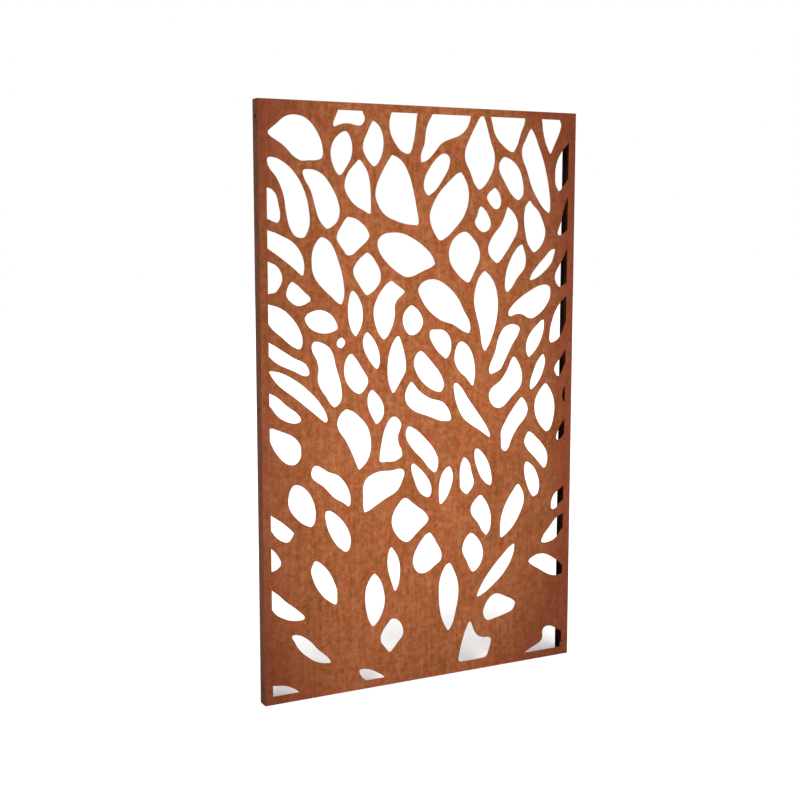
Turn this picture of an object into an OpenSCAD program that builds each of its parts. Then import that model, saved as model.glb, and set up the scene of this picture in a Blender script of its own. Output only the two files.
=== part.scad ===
// Laser-cut screen of weathering steel, 1.1 by 1.8 m. A flat face sheet with leaf-shaped
// openings is carried by two side channels and by two angle rails, and four cleats tie the
// channels to the rails. The fasteners are weld studs with flange nuts, so no head shows
// on the outside. Each channel has a row of holes through which the screen is bolted to
// a post, a wall or the next screen.
// Millimetres. +Z is up, the cut face looks along -Y, and the origin is the middle of the
// footprint, level with the bottom edge.

/* [Panel] */
// Overall width
panel_w = 1100; // [900:10:1500]
// Overall height
panel_h = 1800; // [1400:10:2400]
// Thickness of the face sheet
sheet_t = 2; // [1:0.5:4]

/* [Leaf pattern] */
// Plain metal between the openings and the flanges and rails behind the border
border_cover = 3; // [2:1:40]
// Extra height of the plain border at the bottom
border_foot = 3; // [0:1:60]
// Largest distance between a cut edge and its true curve
curve_tol = 0.25; // [0.15:0.05:1]

/* [Side channels] */
// Depth of the side channels, behind the face sheet
channel_d = 40; // [32:1:80]
// Width of the front and the rear flange
flange_w = 22; // [18:1:40]
// Thickness of the channels
channel_t = 2; // [1.5:0.5:3]
// Inside radius of every fold
fold_r = 1; // [0.5:0.5:3]

/* [Fixing holes] */
// Diameter of the holes in the sides
fixing_d = 12; // [6:0.5:16]
// Holes in each side
fixing_count = 3; // [2:1:6]
// From the top and bottom edge to the centre of the nearest hole
fixing_end = 50; // [42:1:200]

/* [Rails] */
// Thickness of the top and bottom rail
rail_t = 2; // [1.5:0.5:3]
// Height of the leg behind the face sheet
rail_leg = 20; // [17:1:40]

/* [Corner cleats] */
// Thickness of the cleats
cleat_t = 3; // [2:0.5:5]
// Space between a cleat and the folds on both sides of it
cleat_gap = 2; // [0.5:0.5:6]
// Metal between a cleat and the fixing hole beyond its end
cleat_to_hole = 6; // [2:1:12]
// From the end of a cleat's leg to the centre of its stud
cleat_stud_edge = 12; // [9:1:16]

/* [Studs and nuts] */
// Thread of the studs that hold the face sheet
face_stud_d = 5; // [4:1:6]
// Thread of the studs that hold the cleats
cleat_stud_d = 6; // [5:1:8]
// Largest distance between two studs along an edge of the face sheet
stud_pitch = 320; // [150:10:500]
// From the corner of the screen to the first stud along each edge
stud_end = 110; // [90:5:200]
// Length of thread that stands out of a tightened nut
stud_tail = 3; // [1:0.5:6]

/* [Clearances] */
// Gap where the end of one folded piece meets the side of another
seam = 0.3; // [0.2:0.1:1]
// Gap all round between a stud's base and its hole
stud_clearance = 0.25; // [0.1:0.05:1]
// Gap all round between a thread and its nut
thread_clearance = 0.1; // [0.05:0.05:0.3]

/* [Hidden] */
$fn = 48;

rust = [0.64, 0.36, 0.21];
rust_dark = [0.46, 0.25, 0.15];
zinc = [0.68, 0.69, 0.70];

// Front and back of the screen, and the planes between its layers
panel_d = sheet_t + channel_d;
y_front = -panel_d / 2;
y_frame = y_front + sheet_t;
y_rear = panel_d / 2;
y_channel = (y_frame + y_rear) / 2;

// Inside faces of the side channels, and the free edge of their flanges
x_web = panel_w / 2 - channel_t;
x_flange = panel_w / 2 - flange_w;

// Plain borders, wide enough to hide the flanges and the rails
border_side = flange_w + border_cover;
border_top = rail_leg + border_cover;
border_bottom = rail_leg + border_cover + border_foot;

// A cleat ends short of the fixing hole, and fits between the folds of its channel and rail
cleat_leg = fixing_end - fixing_d / 2 - cleat_to_hole - rail_t;
cleat_w = channel_d - 2 * (max(channel_t, rail_t) + fold_r + cleat_gap);
cleat_stud_at = cleat_leg - cleat_stud_edge;

// A weld stud's base is wider than its thread and passes through the piece that it holds
stud_base_extra = 1.5;
stud_base_h = 0.8;
function stud_base_d(d) = d + stud_base_extra;
function stud_hole_d(d) = stud_base_d(d) + 2 * stud_clearance;

// Flange nut for a thread of diameter d
nut_flange_h = 1;
function nut_flat(d) = 2 * d - 2;
function nut_h(d) = d;
function nut_flange_d(d) = 2.4 * d - 0.2;

// Middle of the rails' leg and of the channels' front flange, where the face studs stand
rail_stud_z = (rail_t + rail_leg) / 2;
channel_stud_x = panel_w / 2 - flange_w / 2;

// Evenly spaced places from first to last, no further apart than pitch
function spaced(first, last, pitch) =
    let (steps = ceil((last - first) / pitch))
    [for (i = [0 : steps]) first + i * (last - first) / steps];
channel_studs = spaced(stud_end, panel_h - stud_end, stud_pitch);
rail_studs = spaced(stud_end - panel_w / 2, panel_w / 2 - stud_end, stud_pitch);
fixing_pitch = (panel_h - 2 * fixing_end) / (fixing_count - 1);
fixing_holes = [for (i = [0 : fixing_count - 1]) fixing_end + i * fixing_pitch];

// The openings are laid out on a sheet of 1100 by 1800, x from its left edge and z from
// its bottom edge, and follow the sheet when its size changes. Each opening is a list of
// the points that its edge passes through. Those that run past the border are cut off there.
layout_w = 1100;
layout_h = 1800;
// Openings in the top quarter, from 1450 up
crown_leaves = [
    [[237, 1733], [243, 1729], [267, 1738], [297, 1738], [309, 1735], [329, 1736], [340, 1751],
     [340, 1761], [330, 1779], [322, 1795], [262, 1795], [252, 1774], [245, 1758], [239, 1745]],
    [[33, 1699], [33, 1711], [52, 1726], [87, 1753], [117, 1758], [152, 1748], [187, 1709],
     [203, 1663], [201, 1639], [182, 1630], [158, 1629], [132, 1628], [120, 1633], [74, 1673],
     [52, 1686]],
    [[371, 1749], [388, 1736], [401, 1707], [403, 1683], [397, 1650], [380, 1621], [371, 1616],
     [363, 1621], [335, 1662], [335, 1682], [348, 1714], [365, 1747]],
    [[517, 1790], [516, 1765], [510, 1715], [502, 1678], [495, 1661], [484, 1656], [464, 1663],
     [442, 1686], [427, 1714], [423, 1750], [430, 1776], [438, 1790]],
    [[707, 1785], [704, 1764], [690, 1736], [664, 1715], [632, 1704], [603, 1690], [578, 1662],
     [550, 1637], [534, 1632], [531, 1636], [531, 1655], [543, 1688], [547, 1722], [557, 1754],
     [573, 1777], [580, 1790], [700, 1792]],
    [[746, 1778], [754, 1777], [764, 1752], [779, 1703], [794, 1662], [793, 1630], [777, 1590],
     [748, 1556], [736, 1553], [728, 1560], [705, 1606], [687, 1643], [686, 1665], [704, 1712],
     [729, 1757], [738, 1772]],
    [[786, 1790], [786, 1751], [798, 1718], [827, 1688], [846, 1675], [861, 1671], [870, 1679],
     [891, 1731], [905, 1766], [906, 1775], [903, 1790]],
    [[971, 1790], [971, 1765], [978, 1723], [990, 1690], [1001, 1671], [1007, 1673], [1016, 1692],
     [1040, 1744], [1044, 1762], [1038, 1776], [1034, 1790]],
    [[270, 1715], [283, 1714], [294, 1695], [299, 1662], [294, 1638], [279, 1612], [263, 1591],
     [255, 1588], [250, 1592], [236, 1615], [228, 1652], [234, 1680], [251, 1703]],
    [[612, 1660], [626, 1655], [633, 1643], [629, 1618], [612, 1588], [565, 1535], [558, 1532],
     [550, 1537], [541, 1555], [542, 1577], [560, 1614], [588, 1647], [602, 1657]],
    [[832, 1655], [857, 1646], [885, 1620], [900, 1580], [902, 1541], [890, 1524], [880, 1522],
     [866, 1531], [833, 1575], [811, 1617], [811, 1631], [820, 1648]],
    [[931, 1745], [940, 1733], [957, 1697], [978, 1647], [992, 1598], [1002, 1548], [1006, 1505],
     [1004, 1486], [1000, 1482], [992, 1486], [955, 1527], [937, 1556], [915, 1614], [896, 1662],
     [896, 1682], [911, 1715], [926, 1742]],
    [[1028, 1640], [1043, 1671], [1064, 1696], [1090, 1715], [1095, 1640], [1086, 1604],
     [1072, 1587], [1052, 1562], [1042, 1553], [1036, 1553], [1025, 1573], [1023, 1600],
     [1024, 1623]],
    [[10, 1548], [27, 1548], [38, 1545], [53, 1530], [62, 1497], [66, 1466], [63, 1454], [53, 1448],
     [29, 1458], [10, 1466]],
    [[27, 1624], [30, 1634], [46, 1635], [80, 1621], [116, 1588], [146, 1533], [158, 1481],
     [158, 1438], [144, 1408], [130, 1404], [112, 1410], [98, 1429], [86, 1470], [76, 1531],
     [54, 1580], [32, 1608]],
    [[138, 1593], [143, 1602], [156, 1603], [172, 1602], [203, 1588], [228, 1558], [251, 1513],
     [257, 1482], [248, 1452], [224, 1433], [210, 1433], [190, 1457], [176, 1498], [163, 1542],
     [143, 1577]],
    [[318, 1633], [327, 1632], [348, 1602], [358, 1559], [360, 1510], [360, 1484], [358, 1476],
     [350, 1477], [336, 1485], [317, 1494], [290, 1518], [273, 1552], [275, 1573], [285, 1597],
     [309, 1624]],
    [[431, 1650], [439, 1649], [468, 1631], [488, 1599], [503, 1555], [519, 1480], [524, 1452],
     [519, 1442], [508, 1442], [438, 1457], [409, 1471], [381, 1509], [375, 1532], [379, 1558],
     [398, 1600], [422, 1639]],
    [[667, 1603], [676, 1602], [692, 1576], [701, 1546], [699, 1510], [684, 1470], [650, 1430],
     [618, 1402], [606, 1396], [594, 1397], [580, 1415], [564, 1452], [562, 1472], [572, 1503],
     [590, 1534], [639, 1584], [654, 1597]],
    [[797, 1558], [812, 1543], [819, 1515], [814, 1498], [800, 1492], [788, 1498], [768, 1524],
     [770, 1537], [787, 1553]],
    [[1090, 1565], [1073, 1533], [1062, 1508], [1054, 1477], [1046, 1446], [1036, 1420],
     [1039, 1411], [1052, 1412], [1074, 1427], [1095, 1445]],
    [[744, 1500], [752, 1497], [776, 1467], [782, 1449], [777, 1431], [760, 1421], [746, 1423],
     [728, 1440], [723, 1453], [731, 1470], [740, 1496]],
];
// Openings in the upper middle, from 1050 to 1450
upper_leaves = [
    [[282, 1465], [296, 1464], [333, 1445], [350, 1424], [355, 1410], [350, 1399], [330, 1380],
     [310, 1363], [298, 1354], [280, 1353], [268, 1367], [256, 1383], [246, 1402], [248, 1414],
     [264, 1443], [276, 1460]],
    [[846, 1499], [866, 1482], [883, 1450], [881, 1424], [862, 1388], [832, 1346], [814, 1326],
     [800, 1325], [777, 1349], [773, 1374], [786, 1403], [822, 1447], [837, 1481], [842, 1495]],
    [[930, 1519], [938, 1508], [957, 1491], [979, 1453], [988, 1425], [985, 1400], [968, 1371],
     [950, 1357], [940, 1359], [922, 1382], [910, 1425], [906, 1474], [912, 1503], [924, 1518]],
    [[10, 1423], [40, 1422], [72, 1409], [103, 1393], [130, 1361], [141, 1322], [138, 1298],
     [130, 1295], [113, 1310], [80, 1336], [27, 1373], [10, 1384]],
    [[190, 1403], [208, 1403], [227, 1388], [252, 1334], [267, 1279], [269, 1226], [262, 1208],
     [252, 1209], [227, 1230], [198, 1256], [171, 1292], [164, 1332], [171, 1376]],
    [[405, 1415], [428, 1419], [465, 1417], [508, 1399], [548, 1372], [572, 1346], [581, 1326],
     [576, 1318], [537, 1301], [498, 1285], [480, 1284], [447, 1301], [412, 1330], [387, 1364],
     [382, 1390], [392, 1407]],
    [[682, 1421], [695, 1420], [717, 1402], [740, 1368], [742, 1336], [720, 1291], [707, 1267],
     [692, 1266], [656, 1296], [636, 1324], [630, 1355], [638, 1386], [660, 1411]],
    [[897, 1380], [903, 1378], [915, 1337], [910, 1306], [886, 1278], [852, 1234], [844, 1231],
     [838, 1240], [837, 1272], [853, 1328], [874, 1362], [889, 1377]],
    [[931, 1269], [933, 1277], [952, 1305], [985, 1338], [1012, 1363], [1023, 1366], [1027, 1360],
     [1014, 1323], [983, 1291], [942, 1268]],
    [[1090, 1405], [1074, 1370], [1061, 1341], [1044, 1313], [1030, 1288], [1028, 1267],
     [1040, 1247], [1049, 1243], [1066, 1251], [1092, 1273]],
    [[12, 1333], [38, 1331], [57, 1319], [70, 1293], [70, 1280], [52, 1249], [38, 1244],
     [12, 1248]],
    [[101, 1276], [108, 1273], [142, 1244], [158, 1229], [156, 1216], [124, 1205], [100, 1214],
     [83, 1234], [85, 1254], [96, 1273]],
    [[346, 1359], [355, 1356], [378, 1329], [392, 1300], [391, 1273], [378, 1253], [352, 1233],
     [341, 1234], [328, 1251], [308, 1281], [301, 1296], [302, 1315], [333, 1351]],
    [[10, 1212], [34, 1209], [60, 1201], [98, 1172], [124, 1134], [133, 1105], [130, 1084],
     [122, 1077], [110, 1081], [67, 1114], [30, 1148], [25, 1157], [10, 1180]],
    [[141, 1168], [150, 1180], [185, 1191], [207, 1187], [232, 1170], [247, 1142], [244, 1131],
     [221, 1122], [189, 1123], [160, 1136], [143, 1158]],
    [[299, 1246], [306, 1241], [326, 1208], [332, 1172], [325, 1134], [311, 1111], [305, 1110],
     [296, 1121], [284, 1159], [283, 1205], [291, 1240]],
    [[430, 1273], [441, 1266], [474, 1243], [473, 1236], [449, 1214], [441, 1198], [441, 1170],
     [430, 1130], [412, 1101], [402, 1096], [392, 1105], [374, 1142], [368, 1182], [377, 1215],
     [398, 1249], [421, 1270]],
    [[493, 1195], [503, 1196], [526, 1177], [539, 1149], [536, 1131], [522, 1113], [504, 1105],
     [488, 1109], [474, 1128], [468, 1155], [474, 1176]],
    [[538, 1267], [560, 1275], [590, 1273], [628, 1252], [660, 1221], [684, 1178], [708, 1134],
     [709, 1115], [704, 1105], [694, 1107], [645, 1134], [603, 1148], [570, 1170], [533, 1215],
     [522, 1240], [527, 1257]],
    [[757, 1297], [767, 1295], [795, 1264], [808, 1227], [811, 1180], [802, 1124], [783, 1073],
     [769, 1049], [760, 1048], [754, 1061], [744, 1117], [728, 1172], [722, 1208], [726, 1240],
     [741, 1280]],
    [[980, 1251], [998, 1250], [1010, 1240], [1010, 1211], [998, 1188], [956, 1150], [940, 1144],
     [926, 1146], [902, 1158], [880, 1159], [860, 1153], [851, 1158], [853, 1171], [888, 1206],
     [928, 1231]],
    [[1092, 1228], [1074, 1212], [1057, 1199], [1038, 1175], [1018, 1131], [1010, 1090],
     [1010, 1070], [1017, 1062], [1037, 1069], [1052, 1083], [1073, 1126], [1092, 1160]],
    [[10, 1104], [31, 1097], [58, 1081], [105, 1051], [140, 1033], [150, 1020], [154, 1004],
     [149, 997], [140, 996], [107, 1011], [38, 1047], [27, 1058], [10, 1080]],
    [[259, 1106], [268, 1101], [272, 1090], [266, 1079], [258, 1075], [250, 1078], [244, 1088],
     [249, 1100]],
    [[343, 1118], [352, 1116], [378, 1081], [388, 1050], [388, 1020], [382, 1008], [373, 1009],
     [352, 1035], [332, 1081], [334, 1104]],
    [[571, 1119], [589, 1119], [607, 1118], [626, 1106], [640, 1078], [636, 1044], [622, 1028],
     [610, 1035], [574, 1075], [563, 1098], [564, 1113]],
    [[978, 1136], [987, 1136], [988, 1118], [977, 1074], [953, 1037], [934, 1020], [928, 1020],
     [921, 1034], [921, 1067], [938, 1100], [961, 1122]],
];
// Openings in the lower middle, from 650 to 1050
lower_leaves = [
    [[851, 1125], [881, 1124], [894, 1115], [893, 1104], [866, 1060], [836, 1005], [823, 984],
     [790, 970], [781, 975], [780, 985], [802, 1041], [816, 1089], [833, 1115]],
    [[172, 1097], [184, 1096], [219, 1078], [231, 1060], [240, 1025], [260, 944], [259, 920],
     [249, 904], [238, 897], [229, 901], [207, 932], [190, 956], [181, 984], [184, 1018],
     [177, 1044], [163, 1072], [163, 1088]],
    [[288, 1055], [298, 1053], [330, 1008], [349, 974], [338, 946], [322, 933], [313, 934],
     [283, 959], [269, 993], [270, 1025], [280, 1048]],
    [[446, 1101], [457, 1101], [466, 1078], [479, 1022], [479, 997], [464, 969], [441, 933],
     [431, 932], [420, 960], [415, 1003], [421, 1050], [436, 1088]],
    [[524, 1052], [538, 1052], [573, 1016], [605, 975], [615, 946], [609, 929], [598, 923],
     [573, 931], [540, 955], [513, 994], [507, 1019], [513, 1040]],
    [[671, 1077], [686, 1076], [709, 1054], [723, 1020], [725, 950], [722, 938], [715, 939],
     [696, 962], [669, 986], [653, 1018], [654, 1047], [662, 1068]],
    [[981, 1023], [989, 1023], [994, 1005], [987, 971], [970, 938], [946, 914], [938, 913],
     [936, 925], [949, 972], [969, 1010]],
    [[1090, 1058], [1073, 1038], [1056, 1012], [1038, 992], [1031, 977], [1034, 962], [1045, 951],
     [1056, 956], [1072, 988], [1090, 1012]],
    [[10, 957], [32, 947], [41, 943], [80, 910], [117, 881], [125, 869], [121, 859], [105, 856],
     [84, 861], [50, 882], [31, 907], [10, 940]],
    [[26, 1012], [32, 1016], [60, 1010], [105, 987], [157, 946], [192, 906], [212, 866], [211, 855],
     [202, 854], [175, 876], [112, 928], [40, 989]],
    [[358, 941], [366, 941], [391, 914], [403, 884], [400, 859], [385, 840], [374, 839], [358, 866],
     [347, 900], [350, 930]],
    [[493, 958], [502, 958], [530, 927], [565, 905], [612, 889], [631, 867], [641, 840], [637, 830],
     [620, 829], [553, 851], [503, 872], [480, 897], [477, 925]],
    [[650, 942], [660, 948], [670, 941], [703, 896], [747, 838], [777, 794], [786, 773], [780, 767],
     [751, 788], [710, 814], [684, 836], [665, 870], [651, 922]],
    [[870, 1021], [879, 1019], [897, 991], [906, 955], [899, 925], [867, 893], [832, 862],
     [813, 859], [793, 870], [780, 898], [788, 922], [822, 946], [850, 984], [865, 1015]],
    [[1090, 935], [1072, 913], [1064, 895], [1063, 882], [1067, 869], [1076, 862], [1090, 858]],
    [[22, 838], [30, 846], [50, 839], [70, 831], [103, 814], [123, 787], [125, 770], [124, 754],
     [112, 736], [98, 731], [77, 737], [50, 763], [30, 797], [22, 822]],
    [[272, 887], [288, 884], [318, 863], [345, 832], [357, 795], [356, 750], [344, 722], [322, 701],
     [314, 702], [296, 745], [268, 799], [250, 824], [244, 846], [253, 871]],
    [[425, 850], [438, 855], [452, 848], [463, 830], [460, 815], [452, 795], [454, 771], [465, 745],
     [464, 728], [437, 715], [416, 716], [394, 716], [387, 724], [390, 752], [395, 780],
     [409, 826]],
    [[901, 887], [911, 884], [925, 864], [929, 845], [921, 824], [893, 793], [868, 754], [855, 724],
     [844, 716], [829, 727], [827, 754], [827, 781], [840, 808], [886, 871]],
    [[992, 927], [1003, 925], [1023, 895], [1033, 862], [1031, 819], [1018, 779], [1009, 771],
     [997, 772], [968, 806], [955, 846], [957, 875], [974, 908]],
    [[1090, 820], [1073, 805], [1058, 787], [1047, 765], [1042, 747], [1047, 738], [1058, 740],
     [1074, 756], [1090, 775]],
    [[486, 819], [499, 818], [551, 776], [582, 738], [595, 706], [591, 676], [582, 668], [573, 673],
     [537, 714], [500, 752], [480, 787], [479, 804]],
    [[931, 772], [941, 771], [964, 752], [985, 731], [1005, 701], [1008, 668], [1001, 651],
     [991, 650], [971, 672], [950, 694], [930, 714], [917, 738], [920, 755]],
    [[167, 721], [177, 722], [214, 700], [247, 686], [276, 651], [288, 606], [286, 592], [279, 589],
     [260, 603], [236, 617], [198, 656], [161, 686], [157, 698], [160, 713]],
    [[732, 731], [744, 730], [772, 699], [790, 654], [793, 616], [789, 609], [782, 610], [756, 633],
     [737, 670], [728, 706], [729, 726]],
];
// Openings in the bottom part, up to 650
foot_leaves = [
    [[102, 669], [116, 668], [142, 650], [165, 610], [171, 575], [166, 546], [156, 537], [143, 541],
     [108, 567], [84, 603], [83, 637], [93, 662]],
    [[380, 686], [430, 687], [460, 690], [474, 678], [469, 657], [448, 621], [410, 601], [375, 582],
     [345, 566], [334, 566], [330, 590], [331, 615], [330, 640], [343, 669]],
    [[501, 700], [510, 701], [545, 668], [569, 628], [570, 603], [563, 592], [552, 592], [529, 608],
     [509, 649], [498, 692]],
    [[626, 680], [637, 681], [646, 667], [649, 649], [640, 610], [619, 574], [607, 564], [600, 569],
     [597, 605], [604, 650], [614, 669]],
    [[685, 704], [696, 704], [708, 690], [719, 653], [726, 631], [724, 613], [704, 588], [697, 588],
     [677, 607], [674, 635], [676, 680]],
    [[921, 670], [933, 672], [955, 654], [971, 624], [978, 590], [972, 565], [958, 556], [949, 559],
     [928, 600], [918, 645]],
    [[12, 592], [30, 581], [80, 543], [98, 524], [94, 513], [80, 498], [62, 502], [35, 524],
     [26, 538], [12, 560]],
    [[207, 580], [217, 580], [252, 554], [279, 515], [288, 484], [283, 455], [272, 447], [260, 453],
     [221, 501], [205, 545], [203, 573]],
    [[468, 593], [482, 594], [500, 580], [524, 561], [548, 542], [560, 523], [555, 510], [529, 488],
     [511, 472], [494, 458], [482, 454], [469, 459], [443, 485], [430, 515], [432, 543],
     [450, 575]],
    [[747, 578], [757, 577], [780, 544], [792, 501], [786, 459], [775, 446], [767, 451], [742, 489],
     [718, 520], [716, 543], [733, 567]],
    [[889, 600], [899, 600], [914, 575], [918, 545], [904, 506], [872, 459], [838, 432], [829, 433],
     [827, 450], [834, 510], [849, 545], [880, 589]],
    [[1092, 590], [1073, 581], [1056, 570], [1036, 554], [1027, 534], [1026, 512], [1031, 505],
     [1043, 507], [1060, 523], [1092, 550]],
    [[12, 490], [30, 479], [48, 456], [56, 438], [52, 426], [33, 415], [12, 418]],
    [[554, 472], [569, 473], [592, 437], [608, 404], [605, 382], [585, 367], [559, 350], [543, 346],
     [522, 352], [506, 377], [506, 403], [523, 438], [543, 463]],
    [[1092, 492], [1073, 487], [1046, 474], [1020, 446], [991, 409], [989, 400], [996, 395],
     [1020, 396], [1040, 403], [1073, 437], [1092, 465]],
    [[165, 427], [175, 427], [201, 406], [229, 361], [241, 325], [241, 308], [240, 290], [231, 286],
     [202, 307], [159, 376], [154, 402]],
    [[424, 441], [431, 441], [450, 412], [458, 383], [458, 345], [451, 315], [444, 303], [438, 304],
     [429, 329], [420, 357], [414, 390], [418, 426]],
    [[713, 457], [722, 456], [744, 436], [761, 403], [763, 382], [751, 348], [733, 331], [722, 330],
     [714, 341], [700, 370], [685, 401], [687, 422], [703, 450]],
    [[866, 397], [881, 404], [883, 393], [874, 358], [848, 317], [802, 275], [752, 245], [741, 247],
     [748, 264], [803, 339], [836, 371]],
    [[940, 340], [958, 353], [975, 358], [1003, 356], [1035, 340], [1068, 315], [1080, 298],
     [1074, 282], [1055, 277], [1042, 278], [975, 311], [950, 327]],
    [[12, 362], [30, 352], [75, 311], [104, 288], [120, 273], [131, 261], [127, 252], [108, 251],
     [62, 264], [34, 284], [26, 295], [12, 320]],
    [[361, 361], [372, 364], [388, 345], [402, 304], [405, 272], [396, 237], [376, 206], [365, 198],
     [355, 206], [341, 247], [336, 285], [341, 328]],
    [[626, 364], [641, 365], [657, 337], [670, 298], [671, 255], [662, 209], [644, 156], [636, 147],
     [629, 150], [606, 203], [599, 260], [602, 316], [614, 348]],
    [[89, 202], [96, 208], [112, 205], [142, 187], [180, 146], [200, 129], [216, 110], [213, 102],
     [182, 108], [141, 132], [107, 168], [97, 187]],
    [[428, 212], [442, 211], [458, 199], [469, 176], [469, 156], [450, 133], [427, 108], [418, 108],
     [403, 127], [391, 144], [392, 166], [416, 201]],
    [[800, 241], [817, 244], [849, 231], [884, 211], [888, 202], [878, 182], [853, 172], [812, 163],
     [785, 159], [772, 167], [765, 188], [770, 207], [785, 229]],
    [[711, 161], [720, 160], [728, 139], [742, 115], [764, 104], [787, 101], [797, 89], [789, 62],
     [780, 40], [772, 35], [758, 34], [690, 34], [678, 35], [673, 42], [676, 62], [682, 88],
     [704, 149]],
    [[915, 20], [930, 29], [965, 45], [990, 56], [998, 70], [998, 91], [1005, 103], [1025, 106],
     [1050, 95], [1075, 79], [1095, 66], [1095, 18]],
    [[12, 58], [36, 58], [70, 52], [92, 41], [112, 24], [100, 15], [12, 15]],
    [[315, 61], [322, 65], [345, 62], [380, 45], [401, 30], [398, 22], [370, 12], [345, 24],
     [331, 33], [319, 48]],
];

// Up to the first turn between two chords, in degrees, an edge is a bend, and from the second
// on it is a tip
gentle_turn = 20;
tip_turn = 50;

// Unit vector along v
function unit(v) = v / norm(v);

// Angle between two unit vectors, in radians
function turn_between(a, b) = acos(max(-1, min(1, a * b))) * PI / 180;

// Direction of the edge at b. On a gentle bend it is that of the circle through a, b and c.
// At a tip it nears that of the longer of the two chords, so that the sides run on to the tip.
function heading(a, b, c) =
    let (
        before = b - a,
        after = c - b,
        on_bend = unit(before * norm(after) / norm(before) + after * norm(before) / norm(after)),
        at_tip = unit(before * norm(before) + after * norm(after)),
        turn = turn_between(unit(before), unit(after)) * 180 / PI,
        tip = max(0, min(1, (turn - gentle_turn) / (tip_turn - gentle_turn)))
    )
    unit(on_bend * (1 - tip) + at_tip * tip);

// Points from a towards b on a curve that leaves a along ha and reaches b along hb, in
// just enough steps to stay within curve_tol of the true curve. b itself is left out.
function stretch(a, b, ha, hb) =
    let (
        chord = b - a,
        bend = turn_between(ha, unit(chord)) + turn_between(unit(chord), hb),
        steps = max(1, ceil(sqrt(norm(chord) * bend / (8 * curve_tol)))),
        pull = 2 * norm(chord) / (1 + sqrt((1 + max(-1, ha * hb)) / 2))
    )
    [for (i = [0 : steps - 1])
        let (u = i / steps, v = 1 - u)
        a * (1 + 2 * u) * v * v + ha * pull * u * v * v + b * u * u * (1 + 2 * v) - hb * pull * u * u * v];

// Closed smooth outline through the points p
function smooth_outline(p) =
    let (
        n = len(p),
        h = [for (i = [0 : n - 1]) heading(p[(i + n - 1) % n], p[i], p[(i + 1) % n])]
    )
    [for (i = [0 : n - 1]) each stretch(p[i], p[(i + 1) % n], h[i], h[(i + 1) % n])];

// A point of the layout, on the sheet at its present size
function on_sheet(p) = [p.x * panel_w / layout_w, p.y * panel_h / layout_h];

// All openings, cut off at the plain border
module leaf_openings() {
    intersection() {
        translate([border_side, border_bottom])
            square([panel_w - 2 * border_side, panel_h - border_bottom - border_top]);
        union()
            for (leaf = concat(crown_leaves, upper_leaves, lower_leaves, foot_leaves))
                polygon(smooth_outline([for (p = leaf) on_sheet(p)]));
    }
}

// Turns the XY plane of a flat shape into the XZ plane, with its thickness t behind y
module upright(x, y, t) {
    translate([x, y + t, 0])
        rotate([90, 0, 0])
            linear_extrude(t)
                children();
}

// Carries a shape from the right to the left side
module to_side(left) {
    if (left)
        mirror([1, 0, 0]) children();
    else
        children();
}

// Carries a shape from the bottom to the top edge
module to_edge(top) {
    if (top)
        translate([0, 0, panel_h]) mirror([0, 0, 1]) children();
    else
        children();
}

// Block whose corners on its right side are rounded to r, both or only the lower one
module folded_block(w, h, r, both = true) {
    square([w - r, h]);
    translate([w - r, r])
        square([r, both ? h - 2 * r : h - r]);
    translate([w - r, r])
        circle(r);
    if (both)
        translate([w - r, h - r])
            circle(r);
}

// Section of a channel that opens to the left, from its open side at x = 0
module channel_section() {
    difference() {
        folded_block(flange_w, channel_d, channel_t + fold_r);
        translate([-1, channel_t])
            folded_block(flange_w - channel_t + 1, channel_d - 2 * channel_t, fold_r);
    }
}

// Section of an angle with its corner at the lower right, w wide and h high
module angle_section(w, h, t) {
    difference() {
        folded_block(w, h, t + fold_r, both = false);
        translate([-1, t])
            folded_block(w - t + 1, h, fold_r, both = false);
    }
}

// Plate of w by h, centred on the origin, with its corners rounded to r
module rounded_plate(w, h, r) {
    square([w - 2 * r, h], center = true);
    square([w, h - 2 * r], center = true);
    for (x = [r - w / 2, w / 2 - r], y = [r - h / 2, h / 2 - r])
        translate([x, y])
            circle(r);
}

// Hole along Y through a piece that starts at y
module hole_y(x, y, z, d, t) {
    translate([x, y - 1, z])
        rotate([-90, 0, 0])
            cylinder(d = d, h = t + 2);
}

// Flat sheet with all the openings, at the very front
module face_sheet() {
    color(rust)
        upright(-panel_w / 2, y_front, sheet_t)
            difference() {
                square([panel_w, panel_h]);
                leaf_openings();
            }
}

// Full-height channel, open towards the middle of the screen
module side_channel(left) {
    color(rust)
        to_side(left)
            difference() {
                translate([x_flange, y_frame, 0])
                    linear_extrude(panel_h)
                        channel_section();
                for (z = fixing_holes)
                    translate([x_web - 1, y_channel, z])
                        rotate([0, 90, 0])
                            cylinder(d = fixing_d, h = channel_t + 2);
                for (z = channel_studs)
                    hole_y(channel_stud_x, y_frame, z, stud_hole_d(face_stud_d), channel_t);
            }
}

// Angle along the top or bottom edge. Its leg stands behind the face sheet between the
// channels, and its flat part reaches into them as a tongue, up to their webs. The tongue's
// corners are rounded like the folds that they reach into.
module rail(top) {
    leg_reach = x_flange - seam;
    tongue_l = 2 * (x_web - seam);
    tongue_w = channel_d - 2 * (channel_t + seam);
    color(rust)
        to_edge(top)
            difference() {
                union() {
                    translate([-leg_reach, y_rear, 0])
                        rotate([90, 0, 90])
                            mirror([1, 0, 0])
                                linear_extrude(2 * leg_reach)
                                    angle_section(channel_d, rail_leg, rail_t);
                    translate([0, y_channel, 0])
                        linear_extrude(rail_t)
                            rounded_plate(tongue_l, tongue_w, fold_r);
                }
                for (x = rail_studs)
                    hole_y(x, y_frame, rail_stud_z, stud_hole_d(face_stud_d), rail_t);
            }
}

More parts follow.
